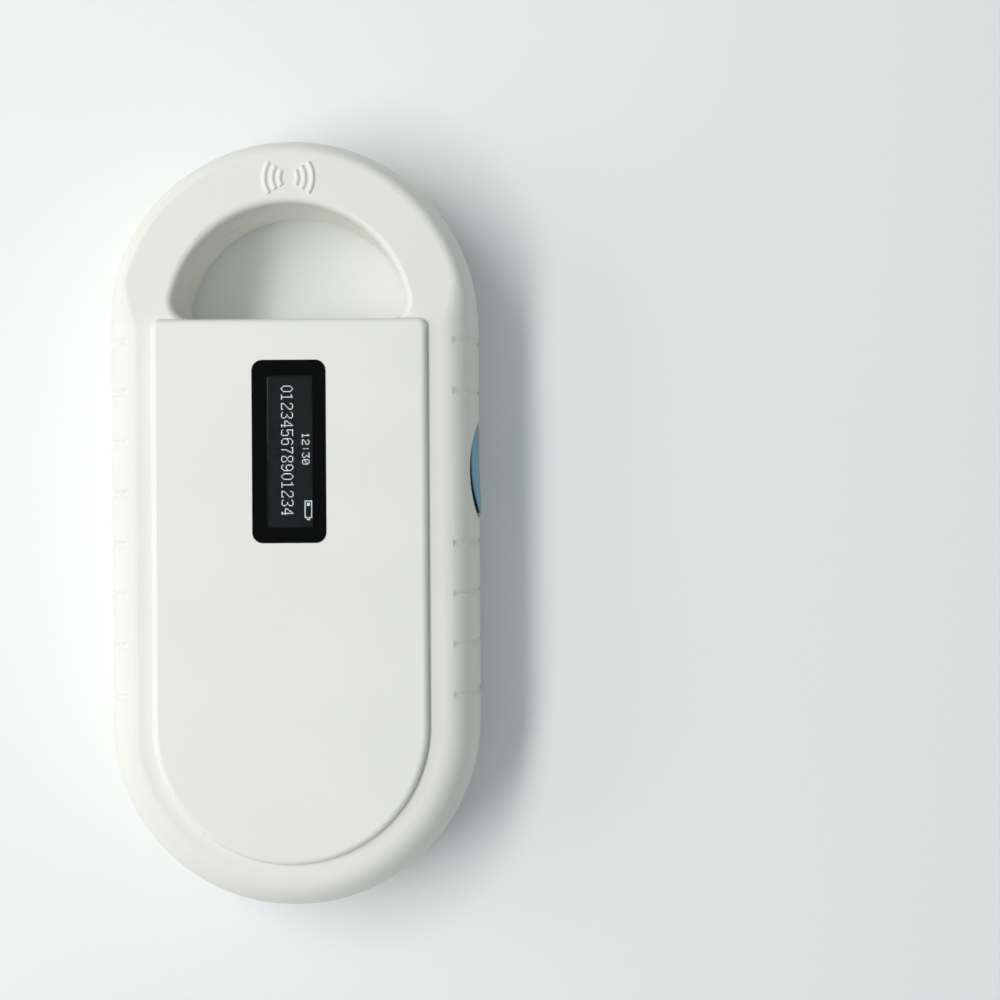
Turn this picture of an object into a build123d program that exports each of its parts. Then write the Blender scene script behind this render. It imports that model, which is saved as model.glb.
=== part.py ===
from build123d import *

import os
from math import asin, degrees, sqrt

# Hand-held animal microchip scanner: an oval plastic handle with a D-shaped reading loop.
# Frame: +Z is the thickness, from the back face at z = 0 to the front panel; +Y runs to the
# reading loop; +X is the side with the push button. The origin is the centre of the back face.
# All sizes are in millimetres.

# ---- case: two shells that meet at the parting plane ----
CASE_LENGTH = 124.4
CASE_WIDTH = 60.0
RIM_Z = 19.3                  # the flat rim and the flat top of the loop
PANEL_TOP_Z = 20.5            # the raised front panel
PARTING_Z = 9.0
WALL = 2.0
END_R = CASE_WIDTH / 2
END_Y = CASE_LENGTH / 2 - END_R     # centres of the two round ends
WIDEST_Z = 10.5
GRIP_WALL_R, GRIP_EDGE_R = 13.0, 4.5     # section of the grip: two tangent arcs
BACK_EDGE_R = 5.0
LOOP_WALL_R, LOOP_EDGE_R = 20.0, 1.8     # section of the loop
SEAM_WIDTH, SEAM_DEPTH = 0.3, 0.2
TONGUE = 0.9                  # tongue of the rear shell, in a groove of the front shell
TONGUE_HEIGHT = 1.0
TONGUE_GAP = 0.1

# ---- hand hole ----
HOLE_R = 19.0
HOLE_CHORD_Y = 32.7
HOLE_CORNER_R = 3.0
HOLE_EDGE_R = 1.2

# ---- shoulders, where the grip's section swells into the loop's ----
SHOULDER_DEG = 14.0
SHOULDER_STEPS = 4
SHOULDER_START_X = 15.0

# ---- grip grooves ----
GROOVE_PITCH = 8.1
GROOVE_FIRST_Y = 29.3
GROOVE_COUNT = 8
GROOVE_WIDTH = 1.3            # V-shaped
GROOVE_DEPTH = 0.35
GROOVE_INNER_X = 25.6
GROOVE_LOW_Z = 6.0
GROOVE_END_SLOPE = 2.4        # the inner end slopes at 45 degrees over this depth

# ---- embossed waves on the loop ----
WAVES_Y = 55.2
WAVE_CENTRE_X = -0.8          # the right-hand arcs are struck from left of the middle
WAVE_RADII = (2.25, 3.4, 4.65)
WAVE_WIDTH = 0.9
WAVE_HALF_ANGLE = 31.5
WAVE_HEIGHT = 0.3

# ---- front panel and display ----
PANEL_HALF = 21.95
PANEL_THICK = 2.0
PANEL_GAP = 0.03
PANEL_CORNER_R = 1.3
PANEL_EDGE_R = 1.0
PANEL_PEGS = ((-15.0, 26.0), (15.0, 26.0), (-15.0, -34.0), (15.0, -34.0), (0.0, -47.0))
PEG_R = 1.0
PEG_LENGTH = 2.0
WINDOW_WIDTH, WINDOW_LENGTH, WINDOW_R = 11.7, 29.0, 1.7
WINDOW_Y = 11.6
WINDOW_THICK = 1.0
WINDOW_TOP_Z = 20.45
ADHESIVE_THICK = 0.15
VIEW_WIDTH, VIEW_LENGTH = 7.3, 24.2
OLED_WIDTH, OLED_LENGTH, OLED_THICK = 11.5, 30.0, 1.4
GASKET_THICK = 0.2

# ---- circuit board ----
BOARD_TOP_Z = 9.6
BOARD_THICK = 1.2
BOARD_HALF = 24.0
BOARD_TOP_Y = 26.5
CASE_SCREWS = ((-22.0, 22.0), (22.0, 22.0), (-17.5, -46.0), (17.5, -46.0))
BOARD_SCREWS = ((-20.0, -22.0), (20.0, -22.0))
BOSS_R = 2.2
SCREW_R = 1.0
HEAD_R = 1.9
PILOT_R = 0.85
HEAD_DEPTH = 3.0              # the case screws sit in wells in the back

# ---- side button and its switch ----
BUTTON_Y, BUTTON_Z = 8.5, 11.3
BUTTON_LENGTH, BUTTON_HEIGHT = 15.6, 10.2     # of its opening
BUTTON_GAP = 0.75
BUTTON_TILT_DEG = 3.0         # proud at its lower end, a little sunk at its upper end
SLEEVE_WALL = 1.2
SLEEVE_INNER_X = 26.6
BUTTON_EDGE_R = 0.35
EAR_THICK = 1.0
EAR_LENGTH = 18.0
EAR_HEIGHT = 6.4
SWITCH_BACK_X, SWITCH_FRONT_X = 18.6, 22.0
SWITCH_LENGTH, SWITCH_HEIGHT = 6.2, 3.4
PLUNGER_TIP_X = 23.0

# ---- micro USB socket ----
USB_WIDTH, USB_HEIGHT, USB_DEPTH = 7.5, 2.6, 5.5
USB_MOUTH_Y = 1.1 - CASE_LENGTH / 2
USB_RECESS_Y = 0.8 - CASE_LENGTH / 2      # floor of the shallow recess round the socket
USB_WALL = 0.3

# ---- battery ----
CELL_WIDTH, CELL_LENGTH, CELL_THICK = 30.0, 46.0, 5.0
CELL_Y = -6.0
TAPE_THICK = 0.2

# ---- antenna, wound round the hand hole ----
FORMER_OFFSET = 2.3           # from the hole's edge
FORMER_WALL = 0.6
WINDING_THICK = 1.6
FORMER_LOW_Z, FORMER_HIGH_Z = 4.0, 13.0
FLANGE_THICK = 0.8

BOARD_LOW_Z = BOARD_TOP_Z - BOARD_THICK
PANEL_LOW_Z = PANEL_TOP_Z - PANEL_THICK
WINDOW_LOW_Z = WINDOW_TOP_Z - WINDOW_THICK
GLASS_TOP_Z = PANEL_LOW_Z - GASKET_THICK
GLASS_LOW_Z = GLASS_TOP_Z - OLED_THICK
TALL = 60.0                   # longer than the object, for cutting tools


def block(x0, x1, y0, y1, z0, z1):
    """A box given by its limits."""
    size = (x1 - x0, y1 - y0, z1 - z0)
    centre = ((x0 + x1) / 2, (y0 + y1) / 2, (z0 + z1) / 2)
    return Pos(*centre) * Box(*size)


def rod(x, y, z0, z1, radius):
    """An upright cylinder."""
    return Pos(x, y, (z0 + z1) / 2) * Cylinder(radius, z1 - z0)


def slab(face, z0, z1):
    """A flat face of the XY plane, raised between two heights."""
    return extrude(Pos(0, 0, z0) * face, z1 - z0, dir=(0, 0, 1))


def rounded(width, length, radius, y=0.0):
    return Pos(0, y) * RectangleRounded(width, length, radius)


def section(inset=0.0, fullness=0.0, start_x=0.0):
    """Half of the case's section: local x is the distance from the middle, local y is z.

    Two tangent arcs round the front edge. At fullness 0 they are the grip's, and at
    fullness 1 the loop's, which is fuller, with a wider flat top and a steeper wall.
    """
    wall_r = GRIP_WALL_R + fullness * (LOOP_WALL_R - GRIP_WALL_R)
    edge_r = GRIP_EDGE_R + fullness * (LOOP_EDGE_R - GRIP_EDGE_R)
    wall_x, edge_z = END_R - wall_r, RIM_Z - edge_r
    rise, span = edge_z - WIDEST_Z, wall_r - edge_r
    edge_x = wall_x + sqrt(span ** 2 - rise ** 2)
    turn = degrees(asin(rise / span))
    side_x, back_x = END_R - inset, END_R - BACK_EDGE_R
    return make_face([
        Line((start_x, inset), (back_x, inset)),
        CenterArc((back_x, BACK_EDGE_R), BACK_EDGE_R - inset, -90, 90),
        Line((side_x, BACK_EDGE_R), (side_x, WIDEST_Z)),
        CenterArc((wall_x, WIDEST_Z), wall_r - inset, 0, turn),
        CenterArc((edge_x, edge_z), edge_r - inset, turn, 90 - turn),
        Line((edge_x, RIM_Z - inset), (start_x, RIM_Z - inset)),
        Line((start_x, RIM_Z - inset), (start_x, inset)),
    ])


def turned_section(angle, *shape):
    """A section stood up in the plane that leaves the loop's centre at an angle."""
    return Pos(0, END_Y, 0) * Rot(0, 0, angle) * (Plane.XZ * section(*shape))


def half_turn(face, y, angle):
    return revolve(face, Axis((0, y, 0), (0, 0, 1)), angle)


def grip_solid(inset):
    """The grip's section carried along the sides and turned round both ends."""
    half = Plane.XZ * section(inset)
    low, high = Pos(0, -END_Y, 0) * half, Pos(0, END_Y, 0) * half
    right = extrude(low, 2 * END_Y, dir=(0, 1, 0))
    straight = right + mirror(right, Plane.YZ)
    return straight + half_turn(low, -END_Y, -180) + half_turn(high, END_Y, 180)


def outer_solid():
    """The case's outer form: the grip, the shoulders that swell, and the loop."""
    low = Pos(0, -END_Y, 0) * (Plane.XZ * section())
    right = extrude(low, 2 * END_Y, dir=(0, 1, 0))
    straight = right + mirror(right, Plane.YZ)
    lower_end = half_turn(low, -END_Y, -180)
    steps = [index / SHOULDER_STEPS for index in range(SHOULDER_STEPS + 1)]
    shoulder = loft([turned_section(SHOULDER_DEG * f, 0.0, f, SHOULDER_START_X) for f in steps])
    loop = half_turn(turned_section(SHOULDER_DEG, 0.0, 1.0), END_Y, 180 - 2 * SHOULDER_DEG)
    core = rod(0, END_Y, 0, RIM_Z, SHOULDER_START_X + 1)
    return straight + lower_end + loop + shoulder + mirror(shoulder, Plane.YZ) + core


def hole_face(offset):
    """The D-shaped outline of the hand hole, moved out by an offset."""
    disc = Pos(0, END_Y) * Circle(HOLE_R + offset)
    chord_y = HOLE_CHORD_Y - offset
    keep = Pos(0, chord_y + TALL / 2) * Rectangle(2 * TALL, TALL)
    face = disc & keep
    corners = face.vertices().sort_by(Axis.Y)[:2]
    return fillet(corners, HOLE_CORNER_R + offset)


def obround(half_width):
    """A flat oval that is concentric with the case."""
    return SlotCenterToCenter(2 * END_Y, 2 * half_width, rotation=90)


def panel_face(inset):
    """The front panel's outline: square at the hole, round at the lower end."""
    half = PANEL_HALF - inset
    top_y = HOLE_CHORD_Y - inset
    body = Pos(0, (top_y - END_Y) / 2) * Rectangle(2 * half, top_y + END_Y)
    corners = body.vertices().sort_by(Axis.Y)[-2:]
    return fillet(corners, max(PANEL_CORNER_R - inset, 0.3)) + Pos(0, -END_Y) * Circle(half)


def case_solid():
    """Both shells as one hollow body, before it is parted."""
    cavity = grip_solid(WALL) - slab(hole_face(WALL), -1, RIM_Z + 1)
    return outer_solid() - cavity


def hand_hole():
    """The hole's cutter, flared at the back and round the loop's arc on the front."""
    blank = slab(Pos(0, END_Y) * Rectangle(3 * HOLE_R, 3 * HOLE_R), 0, RIM_Z)
    bore = slab(hole_face(0), -1, PANEL_TOP_Z + 1)
    drilled = blank - bore
    inside = [e for e in drilled.edges() if abs(e.center().X) < HOLE_R + 1
              and abs(e.center().Y - END_Y) < HOLE_R + 1]
    rims = [e for e in inside if e.bounding_box().size.Z < 0.01]
    flare = blank - bore - fillet(rims, HOLE_EDGE_R)
    beyond_chord = block(-TALL, TALL, HOLE_CHORD_Y, 2 * TALL, PARTING_Z, TALL)
    back = block(-TALL, TALL, -TALL, 2 * TALL, -TALL, PARTING_Z)
    return [bore, *(flare & beyond_chord).solids(), *(flare & back).solids()]


def parting_line():
    """A fine groove where the shells meet, outside and inside the hand hole."""
    low, high = PARTING_Z - SEAM_WIDTH / 2, PARTING_Z + SEAM_WIDTH / 2
    outside = slab(obround(END_R + 2) - obround(END_R - SEAM_DEPTH), low, high)
    return [outside, slab(hole_face(SEAM_DEPTH), low, high)]


def groove_tools():
    """Short slots across both grips; two are missing beside the button."""
    grips = []
    half = GROOVE_WIDTH / 2
    over = 0.1                # the tool starts a little above the surface
    span = half * (1 + over / GROOVE_DEPTH)
    foot_x, foot_z = GROOVE_INNER_X + GROOVE_END_SLOPE, RIM_Z - GROOVE_END_SLOPE
    outline = Polyline((GROOVE_INNER_X - 2, RIM_Z + 2), (foot_x, foot_z), (foot_x, GROOVE_LOW_Z),
                       (END_R + 5, GROOVE_LOW_Z), (END_R + 5, RIM_Z + 2), close=True)
    reach = extrude(Plane.XZ * make_face(outline), 2 * half, both=True)
    band = extrude(Pos(0, -span, 0) * (Plane.XZ * section(-1.0)), 2 * span, dir=(0, 1, 0))
    ridge = [Pos(0, y, 0) * (Plane.XZ * section(inset))
             for y, inset in ((-span, -over), (0, GROOVE_DEPTH), (span, -over))]
    wedge = (band & reach) - loft(ridge, ruled=True)
    for index in range(GROOVE_COUNT):
        y = GROOVE_FIRST_Y - index * GROOVE_PITCH
        slot = Pos(0, y, 0) * wedge
        grips.append(mirror(slot, Plane.YZ))
        if abs(y - BUTTON_Y) > BUTTON_LENGTH / 2 + GROOVE_WIDTH:
            grips.append(slot)
    return grips


def waves():
    """Three raised arcs on each side, like a radio symbol, each with a domed section."""
    arcs = []
    for radius in WAVE_RADII:
        low, high = radius - WAVE_WIDTH / 2, radius + WAVE_WIDTH / 2
        sunk = RIM_Z - 0.1
        dome = make_face([
            Line((low, sunk), (high, sunk)),
            Line((high, sunk), (high, RIM_Z)),
            ThreePointArc((high, RIM_Z), (radius, RIM_Z + WAVE_HEIGHT), (low, RIM_Z)),
            Line((low, RIM_Z), (low, sunk)),
        ])
        start = Rot(0, 0, -WAVE_HALF_ANGLE) * (Plane.XZ * dome)
        arc = Pos(WAVE_CENTRE_X, WAVES_Y, 0) * revolve(start, Axis.Z, 2 * WAVE_HALF_ANGLE)
        arcs += [arc, mirror(arc, Plane.YZ)]
    return arcs


def button_oval(grow, x0, x1):
    """The ellipse of the button's opening, carried along X."""
    oval = Ellipse(BUTTON_LENGTH / 2 + grow, BUTTON_HEIGHT / 2 + grow)
    return extrude(Plane((x0, BUTTON_Y, BUTTON_Z), x_dir=(0, 1, 0), z_dir=(1, 0, 0)) * oval, x1 - x0)


def button_sleeve():
    """A guide round the button's opening, inside the wall."""
    sleeve = button_oval(SLEEVE_WALL, SLEEVE_INNER_X, END_R)
    return sleeve & grip_solid(WALL / 2)


def usb_opening():
    """The socket's notch and the shallow recess for the plug's grip."""
    centre_z = BOARD_TOP_Z + USB_HEIGHT / 2
    notch = block(-4.2, 4.2, -2 * TALL, -58.0, PARTING_Z, BOARD_TOP_Z + USB_HEIGHT + 0.3)
    recess = Plane.XZ * (Pos(0, centre_z) * RectangleRounded(12.0, 7.0, 2.0))
    return notch + extrude(Pos(0, USB_RECESS_Y, 0) * recess, 10, dir=(0, -1, 0))


def hook(angle, part):
    """Snap hook inside the loop's outer wall, and the pocket that it catches in."""
    if part == "hook":
        shape = block(26.6, 28.4, -1.5, 1.5, 10.6, 13.0) + block(26.6, 27.7, -1.5, 1.5, 5.6, 10.6)
        shape += block(27.6, 28.35, -1.5, 1.5, 5.6, 6.6)
    else:
        shape = block(27.9, 28.5, -1.7, 1.7, 5.4, 6.8)
    return Pos(0, END_Y, 0) * Rot(0, 0, angle) * shape


HOOK_ANGLES = (35, 90, 145)


def shells():
    whole = case_solid()
    sleeve = button_sleeve()
    front_half = block(-TALL, TALL, -2 * TALL, 2 * TALL, PARTING_Z, TALL)
    back_half = block(-TALL, TALL, -2 * TALL, 2 * TALL, -TALL, PARTING_Z)
    front = (whole & front_half) + (sleeve & front_half)
    rear = (whole & back_half) + (sleeve & back_half)
    for x, y in CASE_SCREWS:
        front += rod(x, y, BOARD_TOP_Z + 0.1, RIM_Z - WALL + 0.3, BOSS_R)
        rear += rod(x, y, WALL - 0.3, BOARD_LOW_Z, BOSS_R)
    for x, y in BOARD_SCREWS:
        rear += rod(x, y, WALL - 0.3, BOARD_LOW_Z, BOSS_R)
    for angle in HOOK_ANGLES:
        front += hook(angle, "hook")
        rear -= hook(angle, "pocket")
    mid = END_R - WALL + TONGUE
    tongue = slab(obround(mid) - obround(END_R - WALL), PARTING_Z - 0.5, PARTING_Z + TONGUE_HEIGHT)
    groove = slab(obround(mid + TONGUE_GAP) - obround(END_R - WALL - 0.01), PARTING_Z - 0.5,
                  PARTING_Z + TONGUE_HEIGHT + TONGUE_GAP)
    rear += tongue
    front -= groove
    rear += former_ribs()
    common = hand_hole() + parting_line() + [button_oval(0, SLEEVE_INNER_X - 1, 40), usb_opening()]
    front = finish_front(front, common)
    rear = finish_rear(rear, common)
    return front, rear


def former_ribs():
    """Low pads that carry the antenna's former, clear of the back wall."""
    band = hole_face(FORMER_OFFSET + FORMER_WALL + WINDING_THICK) - hole_face(FORMER_OFFSET)
    ring = slab(band, WALL - 0.2, FORMER_LOW_Z)
    pads = []
    for angle in (20, 65, 115, 160, 250, 290):
        wedge = Pos(0, END_Y, 0) * Rot(0, 0, angle) * block(2, 40, -1, 1, 0, 20)
        pads.append(ring & wedge)
    return pads


def finish_front(front, cuts):
    front -= slab(panel_face(-PANEL_GAP), PANEL_LOW_Z, PANEL_TOP_Z + 1)
    front -= slab(rounded(OLED_WIDTH + 0.6, OLED_LENGTH + 0.6, 0.5, WINDOW_Y), 15, PANEL_TOP_Z)
    for x, y in PANEL_PEGS:
        front -= rod(x, y, 15, PANEL_TOP_Z, PEG_R + 0.05)
    for x, y in CASE_SCREWS:
        front -= rod(x, y, 0, RIM_Z - WALL - 2.0, PILOT_R)
    for cut in cuts + groove_tools():
        front -= cut
    for arc in waves():
        front += arc
    return front


def finish_rear(rear, cuts):
    for x, y in CASE_SCREWS:
        rear += rod(x, y, WALL - 0.3, HEAD_DEPTH + 1.4, HEAD_R + 1.2)
        rear -= rod(x, y, -1, BOARD_LOW_Z + 1, SCREW_R + 0.15)
        rear -= rod(x, y, -1, HEAD_DEPTH, HEAD_R + 0.3)
    for x, y in BOARD_SCREWS:
        rear -= rod(x, y, WALL + 0.8, BOARD_LOW_Z + 1, PILOT_R)
    for cut in cuts + groove_tools():
        rear -= cut
    return rear


def front_panel():
    plate = slab(panel_face(0), PANEL_LOW_Z, PANEL_TOP_Z)
    top = plate.faces().sort_by(Axis.Z)[-1]
    plate = fillet(top.edges(), PANEL_EDGE_R)
    pocket_z = WINDOW_LOW_Z - ADHESIVE_THICK
    plate -= slab(rounded(WINDOW_WIDTH + 0.1, WINDOW_LENGTH + 0.1, WINDOW_R, WINDOW_Y),
                  pocket_z, PANEL_TOP_Z + 1)
    plate -= slab(rounded(VIEW_WIDTH + 0.9, VIEW_LENGTH + 0.9, 0.5, WINDOW_Y), 15, PANEL_TOP_Z)
    for x, y in PANEL_PEGS:
        plate += rod(x, y, PANEL_LOW_Z - PEG_LENGTH, PANEL_LOW_Z, PEG_R)
    return plate


def display_parts():
    window = slab(rounded(WINDOW_WIDTH, WINDOW_LENGTH, WINDOW_R, WINDOW_Y), WINDOW_LOW_Z, WINDOW_TOP_Z)
    window = chamfer(window.faces().sort_by(Axis.Z)[-1].edges(), 0.1)
    frame = rounded(WINDOW_WIDTH, WINDOW_LENGTH, WINDOW_R, WINDOW_Y)
    frame -= rounded(VIEW_WIDTH, VIEW_LENGTH, 0.2, WINDOW_Y)
    adhesive = slab(frame, WINDOW_LOW_Z - ADHESIVE_THICK, WINDOW_LOW_Z)
    glass = slab(rounded(OLED_WIDTH, OLED_LENGTH, 0.3, WINDOW_Y), GLASS_LOW_Z, GLASS_TOP_Z)
    ring = rounded(OLED_WIDTH - 0.2, OLED_LENGTH - 1.0, 0.5, WINDOW_Y)
    ring -= rounded(VIEW_WIDTH + 1.0, VIEW_LENGTH + 1.0, 0.5, WINDOW_Y)
    gasket = slab(ring, GLASS_TOP_Z, PANEL_LOW_Z)
    low_y, high_y = WINDOW_Y - 15.0, WINDOW_Y + 13.0
    holder = block(-5.5, 5.5, low_y, high_y, BOARD_TOP_Z, GLASS_LOW_Z)
    holder -= block(-4.3, 4.3, low_y + 1.2, high_y - 1.2, BOARD_TOP_Z, GLASS_LOW_Z - 1.2)
    holder -= block(-4.3, 4.3, low_y + 4.0, high_y - 4.0, BOARD_TOP_Z, GLASS_LOW_Z)
    return {
        "display_window": window,
        "window_adhesive": adhesive,
        "oled_panel": glass,
        "oled_gasket": gasket,
        "display_holder": holder,
        "oled_flex": oled_flex(low_y),
    }


def oled_flex(holder_end_y):
    """The display's flexible tail: out of the glass, down beside the holder, onto the board."""
    half, thick = 4.0, 0.15
    top_z = GLASS_LOW_Z + 0.1
    outer_y = holder_end_y - 1.4
    glass_end = WINDOW_Y - OLED_LENGTH / 2
    lead = block(-half, half, outer_y, glass_end, top_z, top_z + thick)
    drop = block(-half, half, outer_y - thick, outer_y, BOARD_TOP_Z, top_z + thick)
    foot = block(-half, half, outer_y - 3.0, outer_y - thick, BOARD_TOP_Z, BOARD_TOP_Z + thick)
    return lead + drop + foot


def side_button():
    """The blue push button: an oval cap, ears that hold it in, and a stem for the switch."""
    ear_x1 = SLEEVE_INNER_X - 0.15
    ear_x0 = ear_x1 - EAR_THICK
    blank = button_oval(-BUTTON_GAP, ear_x0, 40)
    half = extrude(Plane.XZ * section(), TALL, both=True)
    limit = Pos(END_R, BUTTON_Y, 0) * Rot(0, 0, BUTTON_TILT_DEG)
    limit = limit * Pos(-END_R, 0, 0) * half
    cap = blank & limit
    rim = [e for e in cap.edges() if e.center().X > ear_x1 + 0.5 and e.bounding_box().size.Y > 0.3]
    cap = fillet(rim, BUTTON_EDGE_R)
    ears = block(ear_x0, ear_x1, BUTTON_Y - EAR_LENGTH / 2, BUTTON_Y + EAR_LENGTH / 2,
                 BUTTON_Z - EAR_HEIGHT / 2, BUTTON_Z + EAR_HEIGHT / 2)
    stem_x0 = PLUNGER_TIP_X + 0.05
    stem = Pos((stem_x0 + ear_x0) / 2, BUTTON_Y, BUTTON_Z) * Rot(0, 90, 0)
    return cap + ears + stem * Cylinder(1.5, ear_x0 - stem_x0)


def switch_parts():
    y0, y1 = BUTTON_Y - SWITCH_LENGTH / 2, BUTTON_Y + SWITCH_LENGTH / 2
    z0, z1 = BOARD_TOP_Z, BOARD_TOP_Z + SWITCH_HEIGHT
    pocket_x = SWITCH_BACK_X + 1.7
    plate = 0.2
    body = block(SWITCH_BACK_X, SWITCH_FRONT_X - plate, y0, y1, z0, z1)
    body -= block(pocket_x, SWITCH_FRONT_X, BUTTON_Y - 1.9, BUTTON_Y + 1.9, BUTTON_Z - 1.2,
                  BUTTON_Z + 1.2)
    cover = block(SWITCH_FRONT_X - plate, SWITCH_FRONT_X, y0, y1, z0, z1)
    cover += block(SWITCH_BACK_X, SWITCH_FRONT_X, y0 + 0.4, y1 - 0.4, z1, z1 + plate)
    cover -= block(SWITCH_FRONT_X - 1, SWITCH_FRONT_X + 1, BUTTON_Y - 1.6, BUTTON_Y + 1.6,
                   BUTTON_Z - 0.9, BUTTON_Z + 0.9)
    base = block(pocket_x + 0.65, SWITCH_FRONT_X - plate - 0.05, BUTTON_Y - 1.8, BUTTON_Y + 1.8,
                 BUTTON_Z - 1.1, BUTTON_Z + 1.1)
    nose = block(SWITCH_FRONT_X - 0.3, PLUNGER_TIP_X, BUTTON_Y - 1.5, BUTTON_Y + 1.5,
                 BUTTON_Z - 0.8, BUTTON_Z + 0.8)
    dome = Pos(pocket_x + 0.125, BUTTON_Y, BUTTON_Z) * Rot(0, 90, 0) * Cylinder(1.1, 0.25)
    dome = fillet(dome.edges().sort_by(Axis.X)[-1], 0.2)
    return {
        "switch_body": body,
        "switch_cover": cover,
        "switch_plunger": base + nose,
        "switch_dome": dome,
    }


def main_board():
    outline = Pos(0, (BOARD_TOP_Y - END_Y) / 2) * Rectangle(2 * BOARD_HALF, BOARD_TOP_Y + END_Y)
    outline += Pos(0, -END_Y) * Circle(BOARD_HALF)
    outline += Pos(0, -54.0) * Rectangle(12.0, 10.6)
    board = slab(outline, BOARD_LOW_Z, BOARD_TOP_Z)
    for x, y in CASE_SCREWS:
        board -= rod(x, y, 0, PARTING_Z + 2, SCREW_R + 0.2)
    for x, y in BOARD_SCREWS:
        board -= rod(x, y, 0, PARTING_Z + 2, SCREW_R + 0.1)
    return board


def chip(x, y, width, length, height, pins, pitch):
    """A chip's body with gull-wing pins along its two long sides."""
    low = BOARD_TOP_Z + 0.1
    package = block(x - width / 2, x + width / 2, y - length / 2, y + length / 2, low, low + height)
    package = chamfer(package.edges().group_by(Axis.Z)[-1], 0.15)
    first = y - pitch * (pins - 1) / 2
    for row in range(pins):
        centre = first + row * pitch
        for side in (-1, 1):
            inner, outer = x + side * (width / 2 - 0.1), x + side * (width / 2 + 0.9)
            foot = x + side * (width / 2 + 0.3)
            arm_x, foot_x = sorted((inner, foot)), sorted((foot - side * 0.1, outer))
            package += block(*arm_x, centre - 0.2, centre + 0.2, low + 0.1, low + 0.3)
            package += block(*foot_x, centre - 0.2, centre + 0.2, BOARD_TOP_Z, low + 0.3)
    return package


def components():
    buzzer = rod(-14.5, -31.0, BOARD_TOP_Z, BOARD_TOP_Z + 3.2, 4.5)
    buzzer -= rod(-14.5, -31.0, BOARD_TOP_Z + 2.2, BOARD_TOP_Z + 3.2, 1.0)
    crystal = Pos(-2.0, -17.0, BOARD_TOP_Z + 1.6) * Box(11.0, 4.4, 3.2)
    crystal = fillet(crystal.edges().filter_by(Axis.Z), 2.0)
    inductor = Pos(12.0, -37.0, BOARD_TOP_Z + 1.4) * Box(5.0, 5.0, 2.8)
    inductor = chamfer(inductor.edges().filter_by(Axis.Z), 0.8)
    capacitors = []
    for row in range(4):
        for column in range(2):
            x, y = -19.0 + 3.2 * column, 14.0 - 3.0 * row
            capacitors.append(block(x - 1.0, x + 1.0, y - 0.6, y + 0.6, BOARD_TOP_Z, BOARD_TOP_Z + 0.9))
    return {
        "microcontroller": chip(0.0, -27.5, 7.0, 7.0, 1.1, 8, 0.8),
        "reader_chip": chip(-14.0, -6.0, 4.0, 8.6, 1.4, 7, 1.0),
        "charger_chip": chip(12.0, -46.0, 3.9, 4.9, 1.4, 4, 1.1),
        "buzzer": buzzer,
        "crystal": crystal,
        "power_inductor": inductor,
        "tuning_capacitors": Compound(children=[Solid(c.solid().wrapped) for c in capacitors]),
    }


def usb_parts():
    low, high = BOARD_TOP_Z, BOARD_TOP_Z + USB_HEIGHT
    back_y = USB_MOUTH_Y + USB_DEPTH
    half = USB_WIDTH / 2
    shell = block(-half, half, USB_MOUTH_Y, back_y, low, high)
    shell = chamfer(shell.edges().filter_by(Axis.Y).group_by(Axis.Z)[0], 0.7)
    inner = block(-half + USB_WALL, half - USB_WALL, USB_MOUTH_Y - 1, back_y - 0.8, low + USB_WALL,
                  high - USB_WALL)
    inner = chamfer(inner.edges().filter_by(Axis.Y).group_by(Axis.Z)[0], 0.55)
    shell -= inner
    tongue = block(-1.9, 1.9, USB_MOUTH_Y + 0.7, back_y - 0.8, high - 1.25, high - 0.65)
    return {"usb_socket": shell, "usb_tongue": tongue}


def wire(points, bend, radius):
    """A round wire: straight runs joined by tangent arcs."""
    path = FilletPolyline(*points, radius=bend)
    start = Plane(origin=path @ 0, z_dir=path % 0)
    return sweep(start * Circle(radius), path)


def battery_parts():
    low = WALL + TAPE_THICK
    end_y = CELL_Y - CELL_LENGTH / 2
    half = CELL_WIDTH / 2
    cell = Pos(0, CELL_Y, low + CELL_THICK / 2) * Box(CELL_WIDTH, CELL_LENGTH, CELL_THICK)
    cell = fillet(cell.edges().filter_by(Axis.Y), 1.8)
    cell = fillet(cell.faces().sort_by(Axis.Y)[0].edges() + cell.faces().sort_by(Axis.Y)[-1].edges(), 0.6)
    tape = block(-half + 4, half - 4, CELL_Y - 18, CELL_Y + 18, WALL, low)
    board = block(-half + 2, half - 2, end_y - 3.6, end_y, low + 1.6, low + 2.6)
    header = block(-3.0, 3.0, -42.0, -38.0, 5.4, BOARD_LOW_Z)
    plug = block(-2.6, 2.6, -38.0, -35.0, 5.7, 7.9)
    lead_z = low + 2.6 + 0.35
    leads = {}
    for name, side in (("battery_lead_positive", 1), ("battery_lead_negative", -1)):
        x = side * 1.2
        route = [(x, -35.0, 6.8), (x, end_y - 4.6, 6.8), (x + side * 3.0, end_y - 2.6, 6.8),
                 (x + side * 3.0, end_y - 2.6, low + 2.6)]
        leads[name] = wire(route, 0.5, 0.35)
    leads.update(battery=cell, battery_tape=tape, battery_board=board, battery_header=header,
                 battery_plug=plug)
    return leads, lead_z


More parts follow.
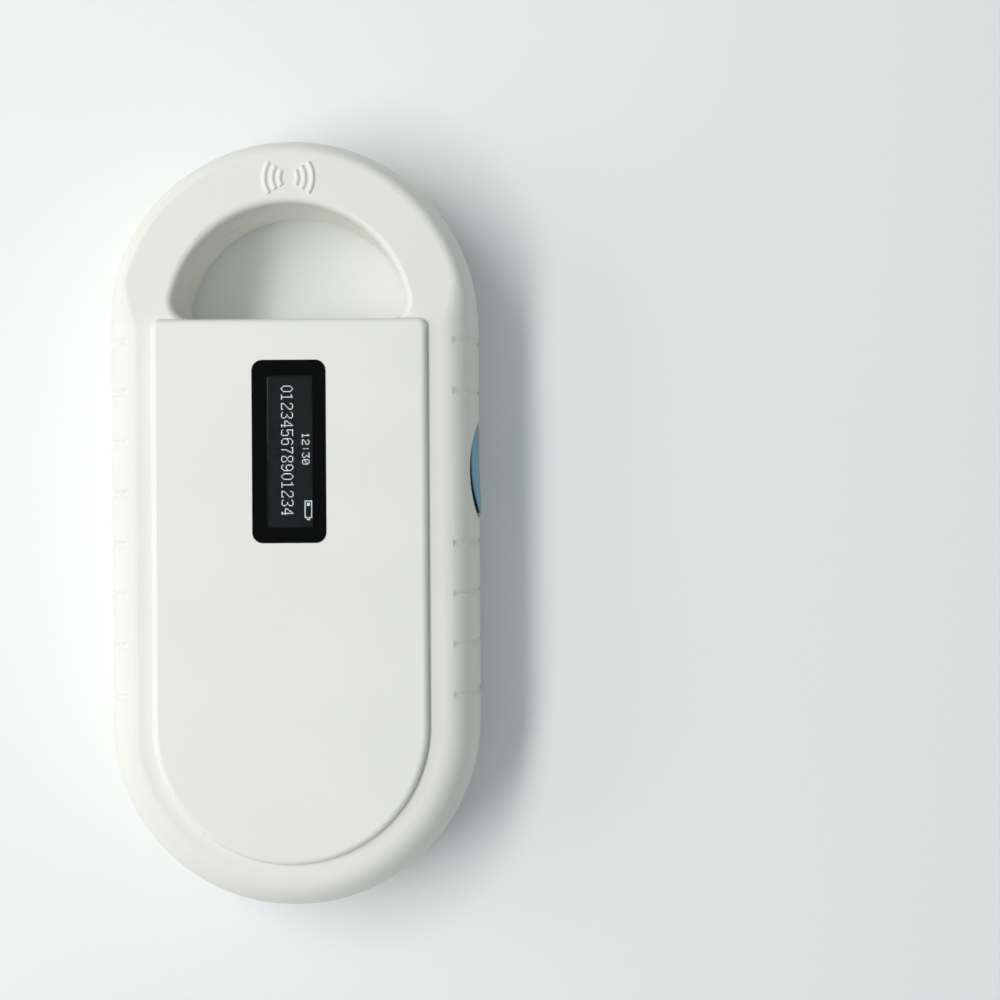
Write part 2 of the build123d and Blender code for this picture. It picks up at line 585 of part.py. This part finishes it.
def antenna_parts():
    inner, core = hole_face(FORMER_OFFSET), hole_face(FORMER_OFFSET + FORMER_WALL)
    edge = hole_face(FORMER_OFFSET + FORMER_WALL + WINDING_THICK + 0.2)
    wound = hole_face(FORMER_OFFSET + FORMER_WALL + WINDING_THICK)
    low_in, high_in = FORMER_LOW_Z + FLANGE_THICK, FORMER_HIGH_Z - FLANGE_THICK
    former = slab(core - inner, FORMER_LOW_Z, FORMER_HIGH_Z)
    former += slab(edge - inner, FORMER_LOW_Z, low_in)
    former += slab(edge - inner, high_in, FORMER_HIGH_Z)
    winding = slab(wound - core, low_in, high_in)
    chord_y = HOLE_CHORD_Y - FORMER_OFFSET - FORMER_WALL - WINDING_THICK
    leads = []
    for x in (-12.0, -14.0):
        route = [(x, chord_y, 10.9), (x, 24.6, 10.9), (x, 24.6, BOARD_TOP_Z)]
        leads.append(wire(route, 0.6, 0.3))
    return {"coil_former": former, "antenna_coil": winding,
            "antenna_leads": Compound(children=[Solid(w.solid().wrapped) for w in leads])}


def screw(x, y, head_z0, head_z1, tip_z, radius):
    """A self-tapping screw with its head below and a crossed recess."""
    up = tip_z > head_z0
    shank = rod(x, y, min(head_z1 if up else head_z0, tip_z), max(head_z1 if up else head_z0, tip_z),
                radius)
    head = rod(x, y, head_z0, head_z1, HEAD_R)
    mouth = head_z0 if up else head_z1
    cross = block(x - 1.1, x + 1.1, y - 0.25, y + 0.25, mouth - 0.7, mouth + 0.7)
    cross += block(x - 0.25, x + 0.25, y - 1.1, y + 1.1, mouth - 0.7, mouth + 0.7)
    return (head + shank) - cross


def screws():
    case = [screw(x, y, HEAD_DEPTH - 1.6, HEAD_DEPTH, 15.0, PILOT_R) for x, y in CASE_SCREWS]
    board = [screw(x, y, BOARD_TOP_Z, BOARD_TOP_Z + 1.3, 3.6, PILOT_R) for x, y in BOARD_SCREWS]
    return {"case_screws": Compound(children=[Solid(s.solid().wrapped) for s in case]),
            "board_screws": Compound(children=[Solid(s.solid().wrapped) for s in board])}


def all_parts():
    front, rear = shells()
    parts = {"front_shell": front, "rear_shell": rear, "front_panel": front_panel(),
             "side_button": side_button(), "main_board": main_board()}
    battery, _ = battery_parts()
    for group in (display_parts(), switch_parts(), components(), usb_parts(), battery,
                  antenna_parts(), screws()):
        parts.update(group)
    return parts


os.makedirs("parts", exist_ok=True)
for node, shape in all_parts().items():
    export_step(shape, f"parts/{node}.step")
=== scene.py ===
"""Looks of the microchip scanner: finishes, the lit display, floor, light and camera."""
from math import radians

import bmesh
import bpy
from mathutils import Matrix, Vector


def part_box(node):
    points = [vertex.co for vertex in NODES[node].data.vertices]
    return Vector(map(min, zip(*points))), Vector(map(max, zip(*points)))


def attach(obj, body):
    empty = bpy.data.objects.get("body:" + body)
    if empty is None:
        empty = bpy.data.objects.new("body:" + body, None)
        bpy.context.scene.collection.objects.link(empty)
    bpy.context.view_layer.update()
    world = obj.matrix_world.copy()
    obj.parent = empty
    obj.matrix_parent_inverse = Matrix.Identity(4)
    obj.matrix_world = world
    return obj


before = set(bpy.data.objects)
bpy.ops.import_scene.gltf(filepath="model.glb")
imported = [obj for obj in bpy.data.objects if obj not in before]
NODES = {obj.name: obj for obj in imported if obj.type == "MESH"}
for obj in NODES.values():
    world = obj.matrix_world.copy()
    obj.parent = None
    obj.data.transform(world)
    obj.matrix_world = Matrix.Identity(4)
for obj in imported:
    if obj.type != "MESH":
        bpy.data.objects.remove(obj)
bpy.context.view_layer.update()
MM = 0.001

# ---- moulded plastic ----
DRIFT_SCALE = 60.0            # patches of colour, in noise cells per metre
GLOSS_SCALE = 140.0           # patches of gloss
GRAIN_SCALE = 2600.0          # spark texture
GRAIN_DEPTH = 0.02 * MM
GRAIN_STRENGTH = 0.25

# ---- base colours of the outside and the floor, as 8-bit screen colours ----
CASE_RGB = (241, 239, 232)
PANEL_RGB = (244, 242, 236)
BUTTON_RGB = (100, 168, 196)
# painted shade: black on the button's skirt stands for the shadow in the gap round the button
BUTTON_GAP_SHADE_RGB = (16, 17, 18)
FLOOR_RGB = (247, 248, 248)

# ---- the button's face, curved like the case and rocked about its middle ----
FACE_RADIUS, FACE_AXIS_Z = 13.0 * MM, 10.5 * MM
FACE_SIDE, FACE_ROCK = 30.0 * MM, radians(3.0)
FACE_SHELL = (0.16 * MM, 0.08 * MM)          # depths between which the black painted gap shade turns to blue

# ---- the antenna's wire ----
WIRE_TURNS_PER_METRE = 800.0
WIRE_DEPTH = 0.06 * MM

# ---- the display: places are from the middle of the window ----
PIXEL = 0.175 * MM            # pitch of the display's dots
DOT = 0.125 * MM
DOT_HEIGHT = 0.02 * MM
DOT_GLOW = 1.5
NUMBER, NUMBER_CELL = "012345678901234", 8               # a digit every eight dots
NUMBER_TOP, NUMBER_START = 0.38 * MM, 10.45 * MM
CLOCK, CLOCK_CELL = "12:30", 6
CLOCK_TOP, CLOCK_START = 2.98 * MM, 2.9 * MM
BATTERY_TOP, BATTERY_START = 3.35 * MM, -7.9 * MM
# a thin block along the display glass's edge, which carries a painted highlight
EDGE_WIDTH, EDGE_LENGTH = 0.16 * MM, 14.0 * MM
EDGE_X, EDGE_Y = -3.58 * MM, 4.9 * MM
EDGE_DARK_Y, EDGE_PAINTED_HIGHLIGHT_Y = 9.0 * MM, 22.0 * MM          # the painted highlight fades in between these, in the object's own space

# ---- stage ----
FLOOR_HALF = 8.0
FLOOR_DROP = 0.1 * MM
SKY_COLOUR = (0.88, 0.975, 1.0, 1.0)
SKY_LOW, SKY_HIGH = 0.01, 0.515                          # strength low down and overhead
SKY_RISE_START, SKY_RISE_END = 0.2, 0.8                  # sine of the elevation
HORIZON_STRENGTH, HORIZON_END = 0.5, 0.12                # a pale band where the floor meets the sky
PATCH_DIRECTION = (-0.117, 0.015, 0.993)                 # a dark patch, which the window mirrors
PATCH_STRENGTH = 0.13
PATCH_START, PATCH_END = 0.9935, 0.9965                  # cosine of the angle from its middle
KEY_PLACE = (-0.467, 0.053, 0.767)
KEY_LENGTH, KEY_HEIGHT, KEY_POWER = 1.0, 0.18, 4.85
KEY_COLOUR = (1.0, 0.985, 0.95)
LOW_PLACE = (-0.90, 0.05, 0.42)
LOW_LENGTH, LOW_HEIGHT, LOW_POWER = 1.0, 0.5, 2.6
LOW_COLOUR = (1.0, 1.0, 1.0)

# ---- camera ----
CAMERA_PLACE = (33.42 * MM, 7.66 * MM, 300 * MM)
CAMERA_ROLL = radians(-0.35)
CAMERA_LENS, CAMERA_SENSOR, CAMERA_SHIFT_Y = 63.5, 36.0, -0.025
CLIP_START, CLIP_END = 0.01, 20.0


# ---------- shader building blocks ----------

def srgb(red, green, blue):
    """An 8-bit screen colour as the linear colour that shaders use."""
    def linear(value):
        value /= 255
        return value / 12.92 if value <= 0.04045 else ((value + 0.055) / 1.055) ** 2.4
    return (linear(red), linear(green), linear(blue), 1.0)


def scaled(colour, factor):
    """A colour made darker or lighter."""
    return tuple(min(1.0, channel * factor) for channel in colour[:3]) + (1.0,)


def new_material(name, roughness, metallic=0.0):
    material = bpy.data.materials.new(name)
    material.use_nodes = True
    shader = material.node_tree.nodes["Principled BSDF"]
    shader.inputs["Roughness"].default_value = roughness
    shader.inputs["Metallic"].default_value = metallic
    return material, material.node_tree, shader


def object_point(tree):
    return tree.nodes.new("ShaderNodeTexCoord").outputs["Object"]


def coordinate(tree, vector, axis):
    """One coordinate of a vector."""
    split = tree.nodes.new("ShaderNodeSeparateXYZ")
    tree.links.new(vector, split.inputs["Vector"])
    return split.outputs[axis]


def noise(tree, scale, detail):
    """Noise over the object's own space, with its scale in cells per metre."""
    texture = tree.nodes.new("ShaderNodeTexNoise")
    texture.inputs["Scale"].default_value = scale
    texture.inputs["Detail"].default_value = detail
    tree.links.new(object_point(tree), texture.inputs["Vector"])
    return texture.outputs["Fac"]


def ramp(tree, factor, low, high, start=0.3, end=0.7):
    """A blend of two colours, driven by a factor."""
    node = tree.nodes.new("ShaderNodeValToRGB")
    node.color_ramp.elements[0].position, node.color_ramp.elements[0].color = start, low
    node.color_ramp.elements[1].position, node.color_ramp.elements[1].color = end, high
    tree.links.new(factor, node.inputs["Fac"])
    return node.outputs["Color"]


def map_range(tree, value, start=0.0, end=1.0, low=0.0, high=1.0, smooth=False):
    """A node that turns start to end into low to high."""
    node = tree.nodes.new("ShaderNodeMapRange")
    if smooth:
        node.interpolation_type = "SMOOTHSTEP"
    node.inputs["From Min"].default_value = start
    node.inputs["From Max"].default_value = end
    node.inputs["To Min"].default_value = low
    node.inputs["To Max"].default_value = high
    tree.links.new(value, node.inputs["Value"])
    return node


def vary_roughness(tree, shader, factor, low, high):
    node = map_range(tree, factor, low=low, high=high)
    tree.links.new(node.outputs["Result"], shader.inputs["Roughness"])


def bump(tree, shader, height, strength, distance):
    node = tree.nodes.new("ShaderNodeBump")
    node.inputs["Strength"].default_value = strength
    node.inputs["Distance"].default_value = distance
    tree.links.new(height, node.inputs["Height"])
    tree.links.new(node.outputs["Normal"], shader.inputs["Normal"])


# ---------- materials ----------

def moulded_plastic(name, colour, roughness, grain=GRAIN_SCALE, grain_depth=GRAIN_DEPTH, drift=0.97):
    """Spark-textured moulded plastic: a fine grain, with slow drifts of colour and gloss."""
    material, tree, shader = new_material(name, roughness)
    tint = ramp(tree, noise(tree, DRIFT_SCALE, 3.0), scaled(colour, drift), colour)
    tree.links.new(tint, shader.inputs["Base Color"])
    vary_roughness(tree, shader, noise(tree, GLOSS_SCALE, 2.0), roughness - 0.04, roughness + 0.05)
    bump(tree, shader, noise(tree, grain, 1.0), GRAIN_STRENGTH, grain_depth)
    return material


def metal(name, colour, roughness):
    """Bare metal with a fine grain."""
    material, tree, shader = new_material(name, roughness, metallic=1.0)
    grain = noise(tree, 3000.0, 2.0)
    tree.links.new(ramp(tree, grain, colour, scaled(colour, 1.15)), shader.inputs["Base Color"])
    vary_roughness(tree, shader, grain, roughness - 0.06, roughness + 0.08)
    return material


def clear_acrylic():
    material, tree, shader = new_material("window_acrylic", 0.03)
    shader.inputs["Base Color"].default_value = (0.93, 0.96, 0.95, 1.0)
    shader.inputs["Transmission Weight"].default_value = 1.0
    shader.inputs["IOR"].default_value = 1.49
    vary_roughness(tree, shader, noise(tree, 80.0, 2.0), 0.02, 0.05)
    return material


def dark_glass():
    """The unlit display: nearly black, with a faint grey-green drift."""
    material, tree, shader = new_material("oled_glass", 0.12)
    colour = ramp(tree, noise(tree, 120.0, 2.0), srgb(19, 24, 23), srgb(30, 34, 32))
    tree.links.new(colour, shader.inputs["Base Color"])
    return material


def circuit_board():
    """Green solder mask, with the paler lines of the tracks under it."""
    material, tree, shader = new_material("solder_mask", 0.35)
    cells = tree.nodes.new("ShaderNodeTexVoronoi")
    cells.feature, cells.distance = "DISTANCE_TO_EDGE", "MANHATTAN"
    cells.inputs["Scale"].default_value = 420.0
    tree.links.new(object_point(tree), cells.inputs["Vector"])
    colour = ramp(tree, cells.outputs["Distance"], srgb(38, 118, 74), srgb(16, 84, 52), 0.04, 0.09)
    tree.links.new(colour, shader.inputs["Base Color"])
    bump(tree, shader, noise(tree, 900.0, 2.0), 0.2, GRAIN_DEPTH)
    return material


def wound_wire():
    """Turns of enamelled copper wire, one above another."""
    material, tree, shader = new_material("enamelled_wire", 0.3, metallic=0.9)
    turns = tree.nodes.new("ShaderNodeTexWave")
    turns.bands_direction = "Z"
    turns.inputs["Scale"].default_value = WIRE_TURNS_PER_METRE
    tree.links.new(object_point(tree), turns.inputs["Vector"])
    colour = ramp(tree, turns.outputs["Fac"], srgb(120, 58, 32), srgb(190, 104, 62), 0.1, 0.6)
    tree.links.new(colour, shader.inputs["Base Color"])
    bump(tree, shader, turns.outputs["Fac"], 0.6, WIRE_DEPTH)
    return material


def distance_from_face_axis(tree):
    """How far a point of the button is from the axis of its face, once the face's rock is undone."""
    low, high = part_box("side_button")
    shift = tree.nodes.new("ShaderNodeMapping")
    shift.inputs["Location"].default_value = (-FACE_SIDE, -(low.y + high.y) / 2, -FACE_AXIS_Z)
    tree.links.new(object_point(tree), shift.inputs["Vector"])
    turn = tree.nodes.new("ShaderNodeMapping")
    turn.inputs["Rotation"].default_value = (0.0, 0.0, -FACE_ROCK)
    turn.inputs["Location"].default_value = (FACE_RADIUS, 0.0, 0.0)
    tree.links.new(shift.outputs["Vector"], turn.inputs["Vector"])
    across = tree.nodes.new("ShaderNodeVectorMath")
    across.operation = "MULTIPLY"
    across.inputs[1].default_value = (1.0, 0.0, 1.0)
    tree.links.new(turn.outputs["Vector"], across.inputs[0])
    radius = tree.nodes.new("ShaderNodeVectorMath")
    radius.operation = "LENGTH"
    tree.links.new(across.outputs["Vector"], radius.inputs[0])
    return radius.outputs["Value"]


def button_plastic():
    """Blue over the curved face, and black painted shade of the gap on the skirt behind it."""
    material, tree, shader = new_material("button_plastic", 0.35)
    face = map_range(tree, distance_from_face_axis(tree),
                     FACE_RADIUS - FACE_SHELL[0], FACE_RADIUS - FACE_SHELL[1])
    # painted shade: the skirt behind the face is coloured black for the shadow in the gap
    colour = ramp(tree, face.outputs["Result"], srgb(*BUTTON_GAP_SHADE_RGB), srgb(*BUTTON_RGB), 0.0, 1.0)
    tree.links.new(colour, shader.inputs["Base Color"])
    vary_roughness(tree, shader, noise(tree, GLOSS_SCALE, 2.0), 0.31, 0.40)
    bump(tree, shader, noise(tree, GRAIN_SCALE, 1.0), GRAIN_STRENGTH, GRAIN_DEPTH)
    return material


def light_material():
    """Cool white dots, a little uneven from one to the next."""
    material, tree, shader = new_material("display_light", 0.4)
    glow = ramp(tree, noise(tree, 900.0, 1.0), (0.70, 0.80, 0.83, 1.0), (0.88, 0.96, 0.98, 1.0))
    shader.inputs["Base Color"].default_value = (0.05, 0.06, 0.06, 1.0)
    tree.links.new(glow, shader.inputs["Emission Color"])
    shader.inputs["Emission Strength"].default_value = DOT_GLOW
    return material


def glass_edge_painted_highlight_material():
    """The ground edge of the display's glass, with a painted highlight at its upper end for the light it
    catches.
    """
    material, tree, shader = new_material("glass_edge", 0.3)
    fade = map_range(tree, coordinate(tree, object_point(tree), "Y"), EDGE_DARK_Y, EDGE_PAINTED_HIGHLIGHT_Y)
    # painted highlight: the edge's grey lightens towards its upper end
    colour = ramp(tree, fade.outputs["Result"], srgb(40, 45, 44), srgb(158, 164, 164), 0.0, 1.0)
    tree.links.new(colour, shader.inputs["Base Color"])
    return material


def assign(material, *nodes):
    for node in nodes:
        for slot in NODES[node].material_slots:
            slot.material = material


def finish_outside():
    assign(moulded_plastic("case_plastic", srgb(*CASE_RGB), 0.42), "front_shell", "rear_shell")
    assign(moulded_plastic("panel_plastic", srgb(*PANEL_RGB), 0.40), "front_panel")
    assign(button_plastic(), "side_button")
    assign(clear_acrylic(), "display_window")
    assign(dark_glass(), "oled_panel")


def finish_inside():
    assign(moulded_plastic("black_plastic", srgb(26, 28, 28), 0.45, drift=0.8),
           "switch_body", "switch_plunger", "usb_tongue", "buzzer", "display_holder", "window_adhesive")
    assign(moulded_plastic("chip_epoxy", srgb(34, 35, 37), 0.6, grain=5000.0, drift=0.85),
           "microcontroller", "reader_chip", "charger_chip", "power_inductor")
    assign(moulded_plastic("ceramic", srgb(176, 150, 118), 0.5, drift=0.9), "tuning_capacitors")
    assign(moulded_plastic("white_nylon", srgb(226, 222, 208), 0.5),
           "coil_former", "battery_header", "battery_plug")
    assign(moulded_plastic("polyimide", srgb(186, 120, 34), 0.3, drift=0.9), "oled_flex")
    assign(moulded_plastic("foam_tape", srgb(48, 48, 48), 0.9, grain=1500.0, grain_depth=0.1 * MM,
                           drift=0.8), "oled_gasket", "battery_tape")
    assign(moulded_plastic("red_sheath", srgb(178, 32, 30), 0.4, drift=0.9), "battery_lead_positive")
    assign(moulded_plastic("black_sheath", srgb(30, 30, 32), 0.4, drift=0.9), "battery_lead_negative")
    assign(metal("tin_plate", srgb(205, 205, 200), 0.3),
           "usb_socket", "switch_cover", "switch_dome", "crystal")
    assign(metal("screw_steel", srgb(150, 150, 152), 0.35), "case_screws", "board_screws")
    assign(metal("copper", srgb(196, 122, 84), 0.3), "antenna_leads")
    assign(metal("cell_foil", srgb(186, 188, 192), 0.38), "battery")
    assign(wound_wire(), "antenna_coil")
    assign(circuit_board(), "main_board", "battery_board")


# ---------- the lit display ----------

# Digits of the long number, six dots wide and eleven high, as rows from the top.
TALL_FONT = {
    "0": "..##.. .#..#. #....# #....# #....# #....# #....# #....# #....# .#..#. ..##..",
    "1": "..#... ###... ..#... ..#... ..#... ..#... ..#... ..#... ..#... ..#... #####.",
    "2": ".####. #....# #....# .....# ....#. ...#.. ..#... .#.... #..... #....# ######",
    "3": ".####. #....# .....# .....# ....#. ..##.. ....#. .....# .....# #....# .####.",
    "4": "....#. ...##. ..#.#. ..#.#. .#..#. #...#. #...#. ###### ....#. ....#. ...###",
    "5": "###### #..... #..... #..... #.###. ##...# .....# .....# .....# #....# .####.",
    "6": "..###. .#...# #..... #..... #.###. ##...# #....# #....# #....# .#...# ..###.",
    "7": "###### #....# ....#. ....#. ...#.. ...#.. ..#... ..#... ..#... ..#... ..#...",
    "8": ".####. #....# #....# #....# .#..#. ..##.. .#..#. #....# #....# #....# .####.",
    "9": ".###.. #...#. #....# #....# #....# #...## .###.# .....# .....# #...#. .###..",
}
# The clock's digits, five dots wide and seven high.
SMALL_FONT = {
    "0": ".###. #...# #..## #.#.# ##..# #...# .###.",
    "1": "..#.. .##.. ..#.. ..#.. ..#.. ..#.. .###.",
    "2": ".###. #...# ....# ..##. .#... #.... #####",
    "3": "##### ...#. ..#.. ...#. ....# #...# .###.",
    ":": "..... ..#.. ..#.. ..... ..#.. ..#.. .....",
}
BATTERY = ("################.. #..............#.. #.###..........### #.###............# "
           "#.###..........### #..............#.. ################..")


def add_block(mesh, x, y, z, width, length):
    """A flat little block that lies on the display."""
    place = Matrix.Translation((x, y, z + DOT_HEIGHT / 2))
    bmesh.ops.create_cube(mesh, size=1.0, matrix=place @ Matrix.Diagonal((width, length, DOT_HEIGHT, 1)))


def write_rows(mesh, rows, top, start, z):
    """Dots of a glyph. Text runs towards -Y, and its top faces +X."""
    for down, row in enumerate(rows.split()):
        for along, dot in enumerate(row):
            if dot == "#":
                add_block(mesh, top - down * PIXEL, start - along * PIXEL, z, DOT, DOT)


def write_text(mesh, font, text, cell, top, start, z):
    for index, letter in enumerate(text):
        write_rows(mesh, font[letter], top, start - index * cell * PIXEL, z)


def display_piece(name, builder, material):
    """A piece of the display, which rides on the case."""
    mesh = bpy.data.meshes.new(name)
    builder.to_mesh(mesh)
    builder.free()
    mesh.materials.append(material)
    piece = bpy.data.objects.new(name, mesh)
    bpy.context.scene.collection.objects.link(piece)
    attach(piece, "case")


def make_display():
    """A generic number, a clock and a battery sign in the display's own dots, and its glass's edge with
    a painted highlight.
    """
    low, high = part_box("display_window")
    middle = (low + high) / 2
    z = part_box("oled_panel")[1].z
    dots = bmesh.new()
    write_text(dots, TALL_FONT, NUMBER, NUMBER_CELL, middle.x + NUMBER_TOP, middle.y + NUMBER_START, z)
    write_text(dots, SMALL_FONT, CLOCK, CLOCK_CELL, middle.x + CLOCK_TOP, middle.y + CLOCK_START, z)
    write_rows(dots, BATTERY, middle.x + BATTERY_TOP, middle.y + BATTERY_START, z)
    edge = bmesh.new()
    add_block(edge, middle.x + EDGE_X, middle.y + EDGE_Y, z, EDGE_WIDTH, EDGE_LENGTH)
    display_piece("display_pixels", dots, light_material())
    display_piece("display_glass_edge", edge, glass_edge_painted_highlight_material())


# ---------- stage ----------

def make_floor():
    mesh = bpy.data.meshes.new("floor")
    corners = [(-1, -1), (1, -1), (1, 1), (-1, 1)]
    mesh.from_pydata([(FLOOR_HALF * x, FLOOR_HALF * y, 0) for x, y in corners], [], [(0, 1, 2, 3)])
    floor = bpy.data.objects.new("floor", mesh)
    bpy.context.scene.collection.objects.link(floor)
    material, _, shader = new_material("floor_white", 0.7)
    shader.inputs["Base Color"].default_value = srgb(*FLOOR_RGB)
    mesh.materials.append(material)
    floor.location.z = -FLOOR_DROP


def make_sky():
    """A pale sky that is brighter overhead, with a pale band at the horizon and one dark patch."""
    world = bpy.data.worlds.new("soft_sky")
    world.use_nodes = True
    tree = world.node_tree
    background = tree.nodes["Background"]
    background.inputs["Color"].default_value = SKY_COLOUR
    direction = tree.nodes.new("ShaderNodeTexCoord").outputs["Generated"]
    height = coordinate(tree, direction, "Z")
    band = map_range(tree, height, 0.0, HORIZON_END, HORIZON_STRENGTH, SKY_LOW, smooth=True)
    rise = map_range(tree, height, SKY_RISE_START, SKY_RISE_END, high=SKY_HIGH, smooth=True)
    tree.links.new(band.outputs["Result"], rise.inputs["To Min"])
    towards = tree.nodes.new("ShaderNodeVectorMath")
    towards.operation = "DOT_PRODUCT"
    towards.inputs[1].default_value = PATCH_DIRECTION
    tree.links.new(direction, towards.inputs[0])
    patch = map_range(tree, towards.outputs["Value"], PATCH_START, PATCH_END, high=PATCH_STRENGTH,
                      smooth=True)
    tree.links.new(rise.outputs["Result"], patch.inputs["To Min"])
    tree.links.new(patch.outputs["Result"], background.inputs["Strength"])
    bpy.context.scene.world = world


def area_light(name, place, length, height, power, colour):
    """A rectangular light that faces the origin."""
    data = bpy.data.lights.new(name, "AREA")
    data.shape = "RECTANGLE"
    data.size, data.size_y = length, height
    data.energy = power
    data.color = colour
    light = bpy.data.objects.new(name, data)
    bpy.context.scene.collection.objects.link(light)
    light.location = place
    light.rotation_euler = (-Vector(place)).to_track_quat("-Z", "Y").to_euler()


def make_lights():
    """A long soft window light from the upper left, and a weaker light lower down on the left."""
    area_light("window_light", KEY_PLACE, KEY_LENGTH, KEY_HEIGHT, KEY_POWER, KEY_COLOUR)
    area_light("low_light", LOW_PLACE, LOW_LENGTH, LOW_HEIGHT, LOW_POWER, LOW_COLOUR)


def make_camera():
    data = bpy.data.cameras.new("camera")
    data.sensor_width, data.lens, data.shift_y = CAMERA_SENSOR, CAMERA_LENS, CAMERA_SHIFT_Y
    data.clip_start, data.clip_end = CLIP_START, CLIP_END
    camera = bpy.data.objects.new("camera", data)
    bpy.context.scene.collection.objects.link(camera)
    camera.location = CAMERA_PLACE
    camera.rotation_euler = (0, 0, CAMERA_ROLL)
    bpy.context.scene.camera = camera


finish_outside()
finish_inside()
make_display()
make_floor()
make_sky()
make_lights()
make_camera()
bpy.context.scene.view_settings.view_transform = "Standard"
